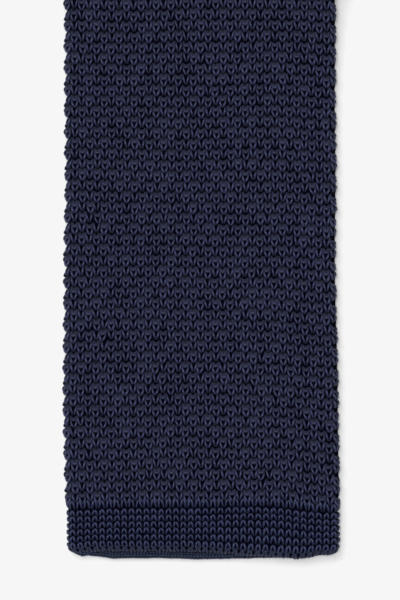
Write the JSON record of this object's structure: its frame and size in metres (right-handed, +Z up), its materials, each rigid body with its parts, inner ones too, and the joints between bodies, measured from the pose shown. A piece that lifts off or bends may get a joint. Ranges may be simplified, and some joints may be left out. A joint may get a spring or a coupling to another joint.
{
  "type": "necktie",
  "caption": "Navy knitted necktie with square ends: a wide blade and a narrower tail, each a flattened knitted tube with a linked back seam, folded in half at the neck.",
  "frame": {"origin": "on the surface the folded tie lies on, under the middle of its bounding box", "axes": "+X across the tie, +Y along it from the blade's end to the neck fold, +Z up from the surface, towards the blade's face"},
  "size_m": [0.06, 0.8, 0.0084],
  "materials": {
    "knit": "textured tuck-stitch knit in smooth navy yarn, with a slight sheen",
    "hem_knit": "plain jersey knit in the same navy yarn",
    "keeper_knit": "narrow plain knitted strap in the same navy yarn",
    "linking_yarn": "linked chain of the same navy yarn",
    "sewing_thread": "navy polyester sewing thread",
    "woven_satin": "blank woven satin label, dark navy",
    "care_satin": "blank off-white satin ribbon label",
    "twill_tape": "thin navy twill tape, inside the neck"
  },
  "bodies": {
    "blade": {"blade_panel": "knit", "blade_hem_band": "hem_knit", "blade_hem_facing": "hem_knit", "blade_back_seam": "linking_yarn", "blade_bar_tack": "sewing_thread", "blade_stay_tape": "twill_tape", "keeper_loop": "keeper_knit", "keeper_stitches": "sewing_thread", "woven_label": "woven_satin", "label_stitches": "sewing_thread", "care_label_stitches": "sewing_thread", "neck_join": "knit"},
    "tail": {"tail_panel": "knit", "tail_hem_band": "hem_knit", "tail_hem_facing": "hem_knit", "tail_back_seam": "linking_yarn", "tail_bar_tack": "sewing_thread", "tail_stay_tape": "twill_tape"},
    "care_label": {"care_label": "care_satin"}
  },
  "joints": [
    {"name": "neck_fold", "type": "hinge", "parent": "blade", "child": "tail", "pos_m": [0, 0.3958, 0.0042], "axis": [1, 0, 0], "range_deg": [0, 178], "deforming": ["neck_join"]},
    {"name": "care_label_flap", "type": "hinge", "parent": "blade", "child": "care_label", "pos_m": [0, -0.252, 0.00482], "axis": [1, 0, 0], "range_deg": [0, 80]}
  ]
}
